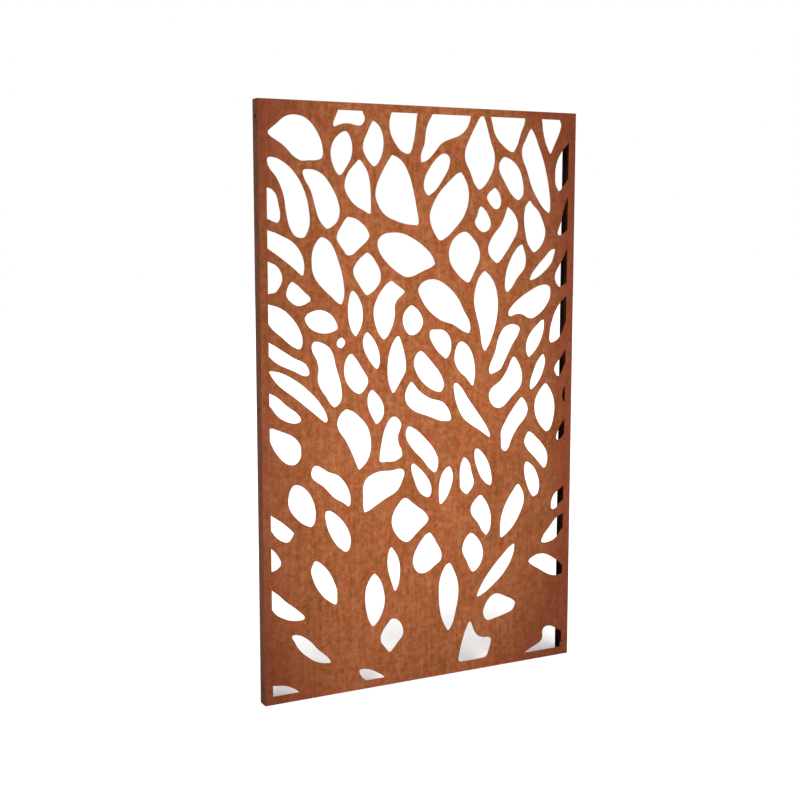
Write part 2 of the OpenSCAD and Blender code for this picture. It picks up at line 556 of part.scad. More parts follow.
// Folded bracket in a corner, on the web of the channel and on the tongue of the rail
module corner_cleat(left, top) {
    color(rust_dark)
        to_edge(top)
            to_side(left)
                difference() {
                    translate([x_web - cleat_leg, y_channel + cleat_w / 2, rail_t])
                        rotate([90, 0, 0])
                            linear_extrude(cleat_w)
                                angle_section(cleat_leg, cleat_leg, cleat_t);
                    translate([x_web - cleat_stud_at, y_channel, rail_t - 1])
                        cylinder(d = stud_hole_d(cleat_stud_d), h = cleat_t + 2);
                    translate([x_web - cleat_t - 1, y_channel, rail_t + cleat_stud_at])
                        rotate([0, 90, 0])
                            cylinder(d = stud_hole_d(cleat_stud_d), h = cleat_t + 2);
                }
}

// Weld stud that stands on z = 0, for a nut on top of a piece of thickness grip
module stud(d, grip) {
    cylinder(d = stud_base_d(d), h = stud_base_h);
    cylinder(d = d, h = grip + nut_h(d) + stud_tail);
}

// Hexagon nut with a flange, tightened on top of a piece of thickness grip
module flange_nut(d, grip) {
    translate([0, 0, grip])
        difference() {
            union() {
                cylinder(d = nut_flange_d(d), h = nut_flange_h);
                cylinder(d = nut_flat(d) / cos(30), h = nut_h(d), $fn = 6);
            }
            translate([0, 0, -1])
                cylinder(d = d + 2 * thread_clearance, h = nut_h(d) + 2);
        }
}

// A stud or, with nuts, the nut on it
module fastener(nuts, d, grip) {
    if (nuts)
        flange_nut(d, grip);
    else
        stud(d, grip);
}

// Places a shape behind the face sheet at x and z, its Z axis pointing to the rear
module behind_sheet(x, z) {
    translate([x, y_frame, z])
        rotate([-90, 0, 0])
            children();
}

// The studs on the back of the face sheet, or their nuts
module face_fasteners(nuts) {
    for (left = [false, true])
        for (z = channel_studs)
            to_side(left)
                behind_sheet(channel_stud_x, z)
                    fastener(nuts, face_stud_d, channel_t);
    for (top = [false, true])
        for (x = rail_studs)
            to_edge(top)
                behind_sheet(x, rail_stud_z)
                    fastener(nuts, face_stud_d, rail_t);
}

// The studs in the four corners, one on the channel and one on the rail, or their nuts
module cleat_fasteners(nuts) {
    for (left = [false, true])
        for (top = [false, true])
            to_edge(top)
                to_side(left) {
                    translate([x_web, y_channel, rail_t + cleat_stud_at])
                        rotate([0, -90, 0])
                            fastener(nuts, cleat_stud_d, cleat_t);
                    translate([x_web - cleat_stud_at, y_channel, rail_t])
                        fastener(nuts, cleat_stud_d, cleat_t);
                }
}

module left_channel() side_channel(left = true);
module right_channel() side_channel(left = false);
module top_rail() rail(top = true);
module bottom_rail() rail(top = false);
module cleat_top_left() corner_cleat(left = true, top = true);
module cleat_top_right() corner_cleat(left = false, top = true);
module cleat_bottom_left() corner_cleat(left = true, top = false);
module cleat_bottom_right() corner_cleat(left = false, top = false);
module face_studs() color(zinc) face_fasteners(nuts = false);
module face_nuts() color(zinc) face_fasteners(nuts = true);
module cleat_studs() color(zinc) cleat_fasteners(nuts = false);
module cleat_nuts() color(zinc) cleat_fasteners(nuts = true);

face_sheet();
left_channel();
right_channel();
top_rail();
bottom_rail();
cleat_top_left();
cleat_top_right();
cleat_bottom_left();
cleat_bottom_right();
face_studs();
face_nuts();
cleat_studs();
cleat_nuts();
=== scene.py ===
"""Laser-cut screen of rusted steel: its looks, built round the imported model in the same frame.

Metres throughout. +Z is up, the cut face looks along -Y, and the origin is the middle of the
footprint, level with the bottom edge.
"""

import math

import bmesh
import bpy
import numpy as np
from bpy.props import FloatProperty, FloatVectorProperty, IntProperty, PointerProperty
from bpy.types import Operator, Panel, PropertyGroup
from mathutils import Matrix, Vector
from mathutils.geometry import delaunay_2d_cdt


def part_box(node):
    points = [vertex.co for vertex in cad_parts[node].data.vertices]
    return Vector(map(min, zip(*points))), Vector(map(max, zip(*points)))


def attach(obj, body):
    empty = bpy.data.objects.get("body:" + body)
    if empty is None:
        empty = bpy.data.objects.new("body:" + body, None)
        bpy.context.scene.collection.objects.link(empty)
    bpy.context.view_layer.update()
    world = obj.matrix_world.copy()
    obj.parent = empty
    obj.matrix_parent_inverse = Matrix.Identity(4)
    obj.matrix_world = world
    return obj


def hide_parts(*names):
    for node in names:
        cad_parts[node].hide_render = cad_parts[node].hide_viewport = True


bl_info = {
    "name": "Laser Cut Metal Screen",
    "version": (1, 0, 0),
    "blender": (4, 5, 0),
    "location": "View3D > Sidebar > Screen",
    "description": "Finishes a rusted steel screen and lights it for a picture",
    "category": "Object",
}

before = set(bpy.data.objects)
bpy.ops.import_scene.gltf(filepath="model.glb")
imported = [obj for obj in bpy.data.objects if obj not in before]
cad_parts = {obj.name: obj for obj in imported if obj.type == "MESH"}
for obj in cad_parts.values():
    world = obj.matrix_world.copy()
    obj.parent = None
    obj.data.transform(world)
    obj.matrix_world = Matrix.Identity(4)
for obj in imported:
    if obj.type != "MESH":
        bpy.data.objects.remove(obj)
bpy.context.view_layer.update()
FACE_LOW, FACE_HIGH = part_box("face_sheet")
CHANNEL_LOW, CHANNEL_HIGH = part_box("right_channel")
BODY = "root"
MM = 0.001

CHANNELS = ("left_channel", "right_channel")
RAILS = ("top_rail", "bottom_rail")
CLEATS = ("cleat_top_left", "cleat_top_right", "cleat_bottom_left", "cleat_bottom_right")

# The folded sheet of the channels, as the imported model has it
CHANNEL_WALL = 2 * MM
HALF_WIDTH = FACE_HIGH.x
HALF_DEPTH = (CHANNEL_HIGH.y - CHANNEL_LOW.y) / 2
MID_DEPTH = (CHANNEL_HIGH.y + CHANNEL_LOW.y) / 2

# An outline of the face sheet has a corner where it turns by more than this
CORNER_TURN = math.radians(60)
# A straight stretch of an outline is over this many times as long as the edge that it meets
STRAIGHT_RATIO = 3
# No edge of an outline is redrawn in more parts than this
MOST_PARTS = 8
# A mitre at a cut corner is no longer than this many radii
MITRE_LIMIT = 4.0
# Kind of triangulation that fills the outlines, and how near two points count as one
FILL_INSIDE = 1
SAME_POINT = 1e-7

# Triangles of a folded piece that bend by less than this from one to the next become one face
FLAT_TURN = math.radians(0.5)
# Edges of a folded piece that turn by more than this stay sharp in the shading
SHARP_TURN = math.radians(30)
# Edges of a folded piece that turn by more than this are eased, to this radius and in these steps
EASED_TURN = math.radians(40)
EASED_RADIUS = 0.3 * MM
EASED_STEPS = 2

# Edges of studs and nuts that turn by more than this stay sharp in the shading
FASTENER_SHARP_TURN = math.radians(35)
# The top of a stud or nut starts at this share of its height
TOP_START = 0.9
# A metric thread's depth, and its crest and root flats, as shares of the pitch
THREAD_DEPTH = 0.6134
CREST_FLAT = 1 / 8
ROOT_FLAT = 1 / 4
# Rings of points along one pitch of a thread
ROWS_PER_PITCH = 8
# Bevel of a stud's base as a share of its thickness, length of the stud's tip as a share of the
# pitch, and radius of the tip's end as a share of the core's
BASE_BEVEL = 0.15
TIP_LENGTH = 0.5
TIP_RADIUS = 0.85
# Degrees that a side of a nut's hexagon fills, and the slope of the cone that cuts its corners
HEXAGON_SIDE = 60
CONE_SLOPE = math.radians(30)
# Radius of a nut's flat top as a share of half its flats, and of its cut corners as a share of
# the full ones
CROWN = 0.96
CUT_CORNER = 0.985
# Chamfer of a nut's bore as a share of its radius, and of its flange as a share of the flange's
BORE_LEAD = 0.1
FLANGE_RIM = 0.04
# Shares of a nut's height between which its flange runs into the hexagon
FLANGE_TOP = 0.24
HEXAGON_FOOT = 0.28

# Shader node sockets of the colour Mix node
MIX_A = 6
MIX_B = 7
MIX_RESULT = 2
# Cells by which one step of the seed shifts a noise, along X, Y and Z
SEED_SHIFT = (3.7, 1.9, 5.3)
# Share of a spot's radius over which it has its full colour
SPOT_CORE = 0.4
# Shine of every finish, low because rust and dust are matt
SHINE = 0.12

# Lean of the face's border to the right, as a share of half the width, and the height at which
# the border is thinnest
BORDER_LEAN = 0.055
BORDER_MIDDLE = 0.95
# Painted fall-off of light: tones that the face nears at its sides, its top and its foot, as shares of
# that in the middle
FALLOFF_SIDE_TONE = 0.69
FALLOFF_TOP_TONE = 0.87
FALLOFF_FOOT_TONE = 0.75
# Tints that multiply the rust of the face: two drifts of hue, the flakes and the border
YELLOWER = (0.94, 1.08, 1.02)
REDDER = (1.04, 0.88, 0.86)
FLAKE_TINT = (0.86, 0.80, 0.76)
BORDER_TINT = (0.84, 0.66, 0.78)
# Makes up for what the tints and the specks take from the face as a whole
LIFT = (1.09, 1.09, 1.13)
# The two tones of a laser-cut wall
WALL_DARK = (0.110, 0.036, 0.018)
WALL_RUST = (0.300, 0.100, 0.036)
# Darkest and lightest tone of the dull rust, whose tone is partly painted shade, as shares of its main
# tone
DULL_DARK = 0.55
DULL_LIGHT = 1.45
# Painted shade inside a channel, given as mill scale, ends between these two depths in a channel's
# wall, counted from its inside
INNER_SHADE_START = 0.5 * MM
INNER_SHADE_END = 1.2 * MM
# Breadth of the band beside a channel's web over which the painted shade grows lighter
SHADE_EASING_BAND = 12 * MM
# Tone of the rails and the cleats as shares of the dull rust, whose tone is partly painted shade
RAIL_SHADE = 0.85
CLEAT_SHADE = 0.7
# Darkest tone of the zinc as a share of its main tone, its stains, and how metallic it is
ZINC_DARK = 0.6
ZINC_STAIN = (0.20, 0.075, 0.035)
ZINC_METALLIC = 0.75
# Roughness of the folded pieces, and depth of the bumps on the face, on those and on the zinc
FOLDED_ROUGHNESS = 0.86
FACE_BUMPS = 0.7 * MM
FOLDED_BUMPS = 0.6 * MM
ZINC_BUMPS = 0.05 * MM
# Tone of the floor as the camera sees it, and as it throws light back
FLOOR_SEEN = 0.72
FLOOR_THROWN = 0.25


# ---------------------------------------------------------------- settings


class SheetSettings(PropertyGroup):
    """Sizes of the face sheet's cut edges and outlines"""

    cut_radius: FloatProperty(
        name="Cut edge radius",
        description="Radius to which the laser-cut edges of the face sheet are softened",
        default=0.3 * MM,
        min=0.05 * MM,
        max=0.9 * MM,
        unit="LENGTH",
    )
    cut_steps: IntProperty(
        name="Cut edge steps",
        description="Facets across each softened edge",
        default=3,
        min=1,
        max=4,
    )
    outline_step: FloatProperty(
        name="Outline step",
        description="Bend of an opening's outline from one point to the next",
        default=math.radians(5),
        min=math.radians(3),
        unit="ROTATION",
    )
    outline_least: FloatProperty(
        name="Shortest outline part",
        description="No part of an opening's outline is shorter than this",
        default=0.7 * MM,
        min=0.5 * MM,
        unit="LENGTH",
    )


class FastenerSettings(PropertyGroup):
    """Sizes and colours of the studs and nuts"""

    face_pitch: FloatProperty(
        name="Face stud pitch",
        description="Thread pitch of the studs that hold the face sheet",
        default=0.8 * MM,
        unit="LENGTH",
    )
    cleat_pitch: FloatProperty(
        name="Cleat stud pitch",
        description="Thread pitch of the studs that hold the cleats",
        default=1.0 * MM,
        unit="LENGTH",
    )
    stud_sides: IntProperty(
        name="Stud sides",
        description="Points round each thread",
        default=24,
        min=12,
        max=48,
    )
    nut_sides: IntProperty(
        name="Nut sides",
        description="Points round each nut, a multiple of twelve so that the corners are met",
        default=72,
        min=24,
        max=120,
    )
    stud_zinc: FloatVectorProperty(
        name="Stud zinc",
        description="Plating of the studs",
        default=(0.50, 0.49, 0.46),
        subtype="COLOR",
    )
    nut_zinc: FloatVectorProperty(
        name="Nut zinc",
        description="Plating of the nuts",
        default=(0.56, 0.55, 0.52),
        subtype="COLOR",
    )


class RustSettings(PropertyGroup):
    """Colours of the rusted steel, and of the painted shade inside the channels"""

    deep: FloatVectorProperty(
        name="Deep rust",
        description="Darkest tone of the face, a brown red",
        default=(0.205, 0.056, 0.014),
        subtype="COLOR",
    )
    dark: FloatVectorProperty(
        name="Dark rust",
        description="Dark mottles of the face",
        default=(0.330, 0.094, 0.024),
        subtype="COLOR",
    )
    middle: FloatVectorProperty(
        name="Middle rust",
        description="Main tone of the face",
        default=(0.418, 0.127, 0.041),
        subtype="COLOR",
    )
    light: FloatVectorProperty(
        name="Light rust",
        description="Light mottles of the face",
        default=(0.496, 0.165, 0.064),
        subtype="COLOR",
    )
    pale: FloatVectorProperty(
        name="Pale rust",
        description="Palest tone of the face",
        default=(0.620, 0.240, 0.110),
        subtype="COLOR",
    )
    fresh: FloatVectorProperty(
        name="Fresh rust",
        description="Small orange red spots of new rust",
        default=(0.600, 0.160, 0.045),
        subtype="COLOR",
    )
    # Partly painted shade: rust of the folded pieces, made darker and greyer like a side turned from
    # the light
    dull: FloatVectorProperty(
        name="Dull rust",
        description="Main tone of the folded channels, rails and cleats",
        default=(0.178, 0.064, 0.033),
        subtype="COLOR",
    )
    # Painted shade: near black tone that stands for the deep shade inside the channels, given as mill
    # scale
    scale: FloatVectorProperty(
        name="Mill scale",
        description="Dark skin left by the rolling mill inside the channels",
        default=(0.014, 0.0055, 0.0018),
        subtype="COLOR",
    )


class StudioSettings(PropertyGroup):
    """Places and strengths of the camera, the lights and the floor"""

    camera_place: FloatVectorProperty(
        name="Camera",
        description="Where the camera stands",
        default=(-1.966, -3.595, 1.427),
        subtype="TRANSLATION",
        unit="LENGTH",
    )
    camera_tilt: FloatProperty(
        name="Tilt down",
        description="Angle by which the camera looks below the horizon",
        default=math.radians(7.36),
        unit="ROTATION",
    )
    camera_turn: FloatProperty(
        name="Turn right",
        description="Angle by which the camera looks to the right of +Y",
        default=math.radians(27.67),
        unit="ROTATION",
    )
    camera_lens: FloatProperty(
        name="Lens",
        description="Focal length in millimetres on a 36 mm sensor",
        default=59.23,
        unit="CAMERA",
    )
    key_azimuth: FloatProperty(
        name="Key light azimuth",
        description="Direction of the key light, to the left of straight in front of the face",
        default=math.radians(22),
        unit="ROTATION",
    )
    key_height: FloatProperty(
        name="Key light height",
        description="Angle of the key light above the floor",
        default=math.radians(64),
        unit="ROTATION",
    )
    key_strength: FloatProperty(
        name="Key light strength",
        description="Strength of the key light",
        default=4.1,
    )
    rear_azimuth: FloatProperty(
        name="Rear light azimuth",
        description="Direction of the rear light, to the left of straight in front of the face",
        default=math.radians(-150),
        unit="ROTATION",
    )
    rear_height: FloatProperty(
        name="Rear light height",
        description="Angle of the rear light above the floor",
        default=math.radians(42),
        unit="ROTATION",
    )
    rear_strength: FloatProperty(
        name="Rear light strength",
        description="Strength of the light that falls on the back",
        default=1.4,
    )
    light_softness: FloatProperty(
        name="Light softness",
        description="Angle that each light fills in the sky",
        default=math.radians(24),
        unit="ROTATION",
    )
    room_light: FloatProperty(
        name="Room light",
        description="Even light from all round, where 1 shows a colour as it is written",
        default=0.45,
    )
    floor_size: FloatProperty(
        name="Floor size",
        description="Side of the square floor",
        default=40.0,
        unit="LENGTH",
    )


class ScreenSettings(PropertyGroup):
    """All settings of the screen"""

    sheet: PointerProperty(type=SheetSettings, name="Sheet", description="Face sheet")
    fasteners: PointerProperty(type=FastenerSettings, name="Fasteners", description="Studs, nuts")
    rust: PointerProperty(type=RustSettings, name="Rust", description="Colours of the steel")
    studio: PointerProperty(type=StudioSettings, name="Studio", description="Camera and light")


# ---------------------------------------------------------------- meshes


def node_mesh(name):
    """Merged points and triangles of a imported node, whose own mesh is loose triangles."""
    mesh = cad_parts[name].data
    mesh.calc_loop_triangles()
    points = np.empty(3 * len(mesh.vertices), np.float32)
    corners = np.empty(3 * len(mesh.loop_triangles), np.int32)
    mesh.vertices.foreach_get("co", points)
    mesh.loop_triangles.foreach_get("vertices", corners)
    micron = points.reshape(-1, 3).astype(float).round(6)
    merged, place = np.unique(micron, axis=0, return_inverse=True)
    triangles = place.ravel()[corners].reshape(-1, 3)
    whole = (triangles != np.roll(triangles, 1, axis=1)).all(axis=1)
    return merged, triangles[whole]


def solids_of(name):
    """Points of each separate solid of a node. Every point takes the lowest label among the
    triangles it is in, again and again, until each solid has one label."""
    points, triangles = node_mesh(name)
    label = np.arange(len(points))
    while True:
        lowest = label.copy()
        np.minimum.at(lowest, triangles.ravel(), np.repeat(label[triangles].min(axis=1), 3))
        if (lowest == label).all():
            break
        label = lowest
    return [points[label == one] for one in np.unique(label)]


def make_piece(name, points, faces, replaced, material):
    """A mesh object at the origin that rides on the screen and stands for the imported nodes."""
    mesh = bpy.data.meshes.new(name)
    mesh.from_pydata(points, [], faces)
    mesh.shade_smooth()
    mesh.materials.append(material)
    piece = bpy.data.objects.new(name, mesh)
    bpy.context.scene.collection.objects.link(piece)
    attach(piece, BODY)
    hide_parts(*replaced)
    return piece


def mark_sharp(mesh, test):
    """Marks as sharp the edges for which test, given both end points of every edge, is true."""
    ends = np.empty(2 * len(mesh.edges), np.int32)
    mesh.edges.foreach_get("vertices", ends)
    one, other = ends.reshape(-1, 2).T
    sharp = mesh.attributes.get("sharp_edge") or mesh.attributes.new("sharp_edge", "BOOLEAN", "EDGE")
    sharp.data.foreach_set("value", test(one, other))


def unit(vectors):
    """Rows scaled to length 1."""
    return vectors / np.linalg.norm(vectors, axis=1, keepdims=True)


def front_outlines(points, triangles, tolerance):
    """Outlines of the front of a flat sheet: its points in plan, and for each point the one
    after it, with the metal to the left. An edge is on an outline if its reverse isn't there."""
    low = points[:, 1].min()
    on_front = (points[triangles][:, :, 1] < low + tolerance).all(axis=1)
    used, flat = np.unique(triangles[on_front], return_inverse=True)
    flat = flat.reshape(-1, 3)
    count = len(used)
    start = flat.ravel()
    end = np.roll(flat, -1, axis=1).ravel()
    outline = ~np.isin(start * count + end, end * count + start)
    after = np.full(count, -1)
    after[start[outline]] = end[outline]
    if (np.sort(after) != np.arange(count)).any():
        raise RuntimeError("the front of the face sheet has points away from its outlines")
    return points[used][:, [0, 2]], after


def reversed_order(after):
    """The point before each point."""
    before = np.empty_like(after)
    before[after] = np.arange(len(after))
    return before


def smoothed_outlines(plan, after, step, least):
    """Outlines with each edge redrawn as a cubic from its two end points and end directions.

    The direction at a point is that of the circle through it and its neighbours, or that of a
    straight stretch that ends there. At a corner the edge bends as it does at its other end.
    An edge gets one part for every step of its bend, and no part is shorter than least.
    """
    before = reversed_order(after)
    chord = plan[after] - plan
    length = np.linalg.norm(chord, axis=1)[:, None]
    way = chord / length
    way_before, length_before = way[before], length[before]
    corner = (way * way_before).sum(axis=1, keepdims=True) < math.cos(CORNER_TURN)
    heading = unit(way_before * length + way * length_before)
    heading = np.where(length > STRAIGHT_RATIO * length_before, way, heading)
    heading = np.where(length_before > STRAIGHT_RATIO * length, way_before, heading)

    def mirrored(direction):
        """Direction at one end of each edge that bends it as the other end's direction does."""
        return 2 * (direction * way).sum(axis=1, keepdims=True) * way - direction

    lead = np.where(corner, np.where(corner[after], way, mirrored(heading[after])), heading)
    trail = np.where(corner[after], np.where(corner, way, mirrored(heading)), heading[after])
    bend = sum(np.arccos(np.clip((side * way).sum(axis=1), -1, 1)) for side in (lead, trail))
    parts = np.minimum(np.ceil(bend / step), length[:, 0] / least).astype(int)
    parts = np.clip(parts, 1, MOST_PARTS)

    edge = np.repeat(np.arange(len(plan)), parts)
    first = np.cumsum(parts) - parts
    number = np.arange(len(edge)) - first[edge]
    u = (number / parts[edge])[:, None]
    curve = (
        (2 * u**3 - 3 * u**2 + 1) * plan[edge]
        + (u**3 - 2 * u**2 + u) * (lead * length)[edge]
        + (3 * u**2 - 2 * u**3) * plan[after][edge]
        + (u**3 - u**2) * (trail * length)[edge]
    )
    last = number + 1 == parts[edge]
    return curve, np.where(last, first[after[edge]], np.arange(len(edge)) + 1)


def filled(plan, after):
    """Triangles of the metal to the left of the outlines. They come from a triangulation that
    keeps every outline edge. A triangle is metal if its middle, seen from its first point, lies
    between the edge that leaves this point and the edge that comes in, going to the left."""
    edges = np.stack([np.arange(len(plan)), after], axis=1)
    points = [Vector(one) for one in plan.tolist()]
    whole = delaunay_2d_cdt(points, edges.tolist(), [], FILL_INSIDE, SAME_POINT)
    if len(whole[0]) != len(plan):
        raise RuntimeError("the outlines of the face sheet touch each other")
    triangles = np.array(whole[2])
    corner = triangles[:, 0]

    def bearing(target):
        """Angle at which each triangle's first point sees its target."""
        return np.arctan2(*(target - plan[corner]).T[::-1])

    leaves = bearing(plan[after][corner])
    comes = bearing(plan[reversed_order(after)][corner])
    middle = bearing(plan[triangles].mean(axis=1))
    full = 2 * math.pi
    return triangles[(middle - leaves) % full < (comes - leaves) % full]


def softened_sheet(plan, after, low, high, radius, steps):
    """Flat sheet whose cut edges are rounded, front at low y and back at high y.

    Every outline is a path. The section carried along it is a quarter round, the wall and a
    second quarter round: at angle a it is radius (1 - sin a) into the metal and radius
    (1 - cos a) below its flat. Each point moves along the mitre of its two edges. Returns
    points, faces, which columns are sharp corners, and how far each ring is down the cut.
    """
    count = len(plan)
    along = unit(plan[after] - plan)
    left = np.stack([-along[:, 1], along[:, 0]], axis=1)
    left_before = left[reversed_order(after)]
    turn = (left * left_before).sum(axis=1)
    mitre = (left + left_before) / np.maximum(1 + turn, 2 / MITRE_LIMIT**2)[:, None]

    angle = np.linspace(0, math.pi / 2, steps + 1)
    inward = radius * (1 - np.sin(angle))
    below = radius * (1 - np.cos(angle))
    inward = np.concatenate([inward, inward[::-1]])
    level = np.concatenate([low + below, high - below[::-1]])
    depth = np.concatenate([np.sin(angle), np.sin(angle)[::-1]])
    rings = len(level)
    section = plan + inward[:, None, None] * mitre
    height = np.broadcast_to(level[:, None], (rings, count))
    skin = np.stack([section[:, :, 0], height, section[:, :, 1]], axis=2)

    flat = filled(section[0], after)
    ring = count * np.arange(rings - 1)[:, None]
    here = np.arange(count)
    walls = np.stack([ring + here, ring + count + here, ring + count + after, ring + after], axis=2)
    back = flat[:, ::-1] + count * (rings - 1)
    faces = flat.tolist() + back.tolist() + walls.reshape(-1, 4).tolist()
    return skin.reshape(-1, 3), faces, turn < math.cos(CORNER_TURN), np.repeat(depth, count)


def round_skin(rings, loop):
    """Skin over rings of points, an array of ring by point by xyz. Each ring is joined to the
    next. With loop the last ring is joined to the first, and otherwise both ends are closed by
    fans to their middles. Rings run with the right hand round the way they are stacked."""
    count, sides, _ = rings.shape
    points = rings.reshape(-1, 3)
    step = np.arange(sides)
    turned = np.roll(step, -1)
    row = sides * np.arange(count if loop else count - 1)[:, None]
    above = (row + sides) % (count * sides)
    quads = np.stack([row + step, row + turned, above + turned, above + step], axis=2).reshape(-1, 4)
    if loop:
        return points, quads, np.empty((0, 3), int)
    middle = np.stack([rings[0].mean(axis=0), rings[-1].mean(axis=0)])
    foot = np.full(sides, len(points))
    last = sides * (count - 1)
    fans = np.concatenate([
        np.stack([foot, turned, step], axis=1),
        np.stack([foot + 1, last + step, last + turned], axis=1),
    ])
    return np.concatenate([points, middle]), quads, fans


def polar(radii, heights, sides):
    """Rings of points from radii, an array of ring by side, and one height or one row of heights
    for each ring, in a frame where z is the axis."""
    turn = 2 * math.pi * np.arange(sides) / sides
    radii = np.broadcast_to(np.asarray(radii, float), (len(radii), sides))
    heights = np.broadcast_to(np.asarray(heights, float), (len(radii), sides))
    return np.stack([radii * np.cos(turn), radii * np.sin(turn), heights], axis=2)


def eased_copy(name, node, material):
    """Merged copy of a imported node, with its cut edges eased. Its folds bend by less than the
    limit from facet to facet, so they only get smooth shading."""
    points, triangles = node_mesh(node)
    piece = make_piece(name, points, triangles.tolist(), [node], material)
    work = bmesh.new()
    work.from_mesh(piece.data)
    bmesh.ops.dissolve_limit(work, angle_limit=FLAT_TURN, verts=work.verts, edges=work.edges)
    work.to_mesh(piece.data)
    work.free()
    piece.data.set_sharp_from_angle(angle=SHARP_TURN)
    ease = piece.modifiers.new("eased_edges", "BEVEL")
    ease.width = EASED_RADIUS
    ease.segments = EASED_STEPS
    ease.limit_method = "ANGLE"
    ease.angle_limit = EASED_TURN
    ease.harden_normals = True
    return piece


class Seat:
    """Where a stud or nut sits: its foot, the way it points and its measures from its solid."""

    def __init__(self, points, way):
        low, high = points.min(axis=0), points.max(axis=0)
        self.way = way
        self.foot = (low + high) / 2
        reach = (points - self.foot) @ way
        self.foot = self.foot + reach.min() * way
        self.height = reach.max() - reach.min()
        across = points - self.foot
        self.levels = across @ way
        self.radial = np.linalg.norm(across - self.levels[:, None] * way, axis=1)
        self.top_radius = self.radial[self.levels > TOP_START * self.height].max()

    def put(self, rings):
        """Turns rings from the frame where z is the axis into the screen's frame."""
        first = np.roll(np.abs(self.way), 1)
        second = np.cross(self.way, first)
        return self.foot + rings @ np.stack([first, second, self.way])


def way_in(points):
    """Way in which a fastener points: along Y to the rear, or from its wall to the middle."""
    low, high = points.min(axis=0), points.max(axis=0)
    size = high - low
    odd = np.argmax(np.abs(size - np.median(size)))
    way = np.zeros(3)
    if odd == 1:
        way[odd] = 1
    else:
        middle = (FACE_LOW[odd] + FACE_HIGH[odd]) / 2
        way[odd] = math.copysign(1, middle - (low + high)[odd] / 2)
    return way


def stud_rings(seat, pitch, sides):
    """Weld stud: a base disc, then a thread. The thread's radius runs between core and crest as
    a flat-topped triangle wave of height over pitch less angle over a full turn, and the wave
    fades over one pitch at both ends."""
    base = seat.radial.max()
    crest = seat.top_radius
    core = crest - THREAD_DEPTH * pitch
    base_top = seat.levels[seat.radial > (base + crest) / 2].max()
    bevel = BASE_BEVEL * base_top
    tip = TIP_LENGTH * pitch

    rows = int(ROWS_PER_PITCH * (seat.height - base_top - tip) / pitch)
    level = np.linspace(base_top, seat.height - tip, rows)[:, None]
    angle = np.arange(sides)[None] / sides
    off_crest = np.abs((level / pitch - angle) % 1 - 0.5)
    slope = 0.5 - CREST_FLAT / 2 - ROOT_FLAT / 2
    wave = np.clip((0.5 - ROOT_FLAT / 2 - off_crest) / slope, 0, 1)
    fade = np.clip(np.minimum(level - base_top, seat.height - tip - level) / pitch, 0, 1)
    thread = core + (crest - core) * wave * fade

    flat = np.ones(sides)
    radii = [base * flat, base * flat, (base - bevel) * flat, *thread, TIP_RADIUS * core * flat]
    heights = [0, base_top - bevel, base_top, *level[:, 0], seat.height]
    return polar(np.array(radii), np.array(heights)[:, None], sides)


def nut_rings(seat, sides):
    """Flange nut, as a section that goes once round the metal. Above the flange the radius is a
    hexagon's, half the flats over the cosine of the angle from the nearest flat, and at the top
    a cone cuts its corners."""
    flange = seat.radial.max()
    bore = seat.radial.min()
    corner = seat.top_radius
    half_flats = corner * math.cos(math.radians(HEXAGON_SIDE / 2))
    crown = CROWN * half_flats
    turn = 360 * np.arange(sides) / sides
    from_flat = np.radians((turn + HEXAGON_SIDE / 2) % HEXAGON_SIDE - HEXAGON_SIDE / 2)
    hexagon = np.minimum(half_flats / np.cos(from_flat), CUT_CORNER * corner)
    lead = BORE_LEAD * bore
    rim = FLANGE_RIM * flange
    top = seat.height
    flat = np.ones(sides)
    cone = top - (hexagon - crown) * math.tan(CONE_SLOPE)
    radii = [
        bore * flat, (bore + lead) * flat, (flange - rim) * flat, flange * flat, flange * flat,
        hexagon + rim, hexagon, hexagon, crown * flat, (bore + lead) * flat, bore * flat,
    ]
    heights = [
        lead * flat, 0 * flat, 0 * flat, rim * flat, 2 * rim * flat,
        FLANGE_TOP * top * flat, HEXAGON_FOOT * top * flat, cone,
        top * flat, top * flat, (top - lead) * flat,
    ]
    return polar(np.array(radii), np.array(heights), sides)


def fastener_group(name, node, material, shape, loop):
    """One object for all the like fasteners of a node, each shaped by its own solid."""
    groups = []
    faces = []
    start = 0
    for points in solids_of(node):
        seat = Seat(points, way_in(points))
        skin, quads, fans = round_skin(seat.put(shape(seat)), loop)
        faces += (quads + start).tolist() + (fans + start).tolist()
        groups.append(skin)
        start += len(skin)
    piece = make_piece(name, np.concatenate(groups), faces, [node], material)
    piece.data.set_sharp_from_angle(angle=FASTENER_SHARP_TURN)
    return piece


# ---------------------------------------------------------------- finishes


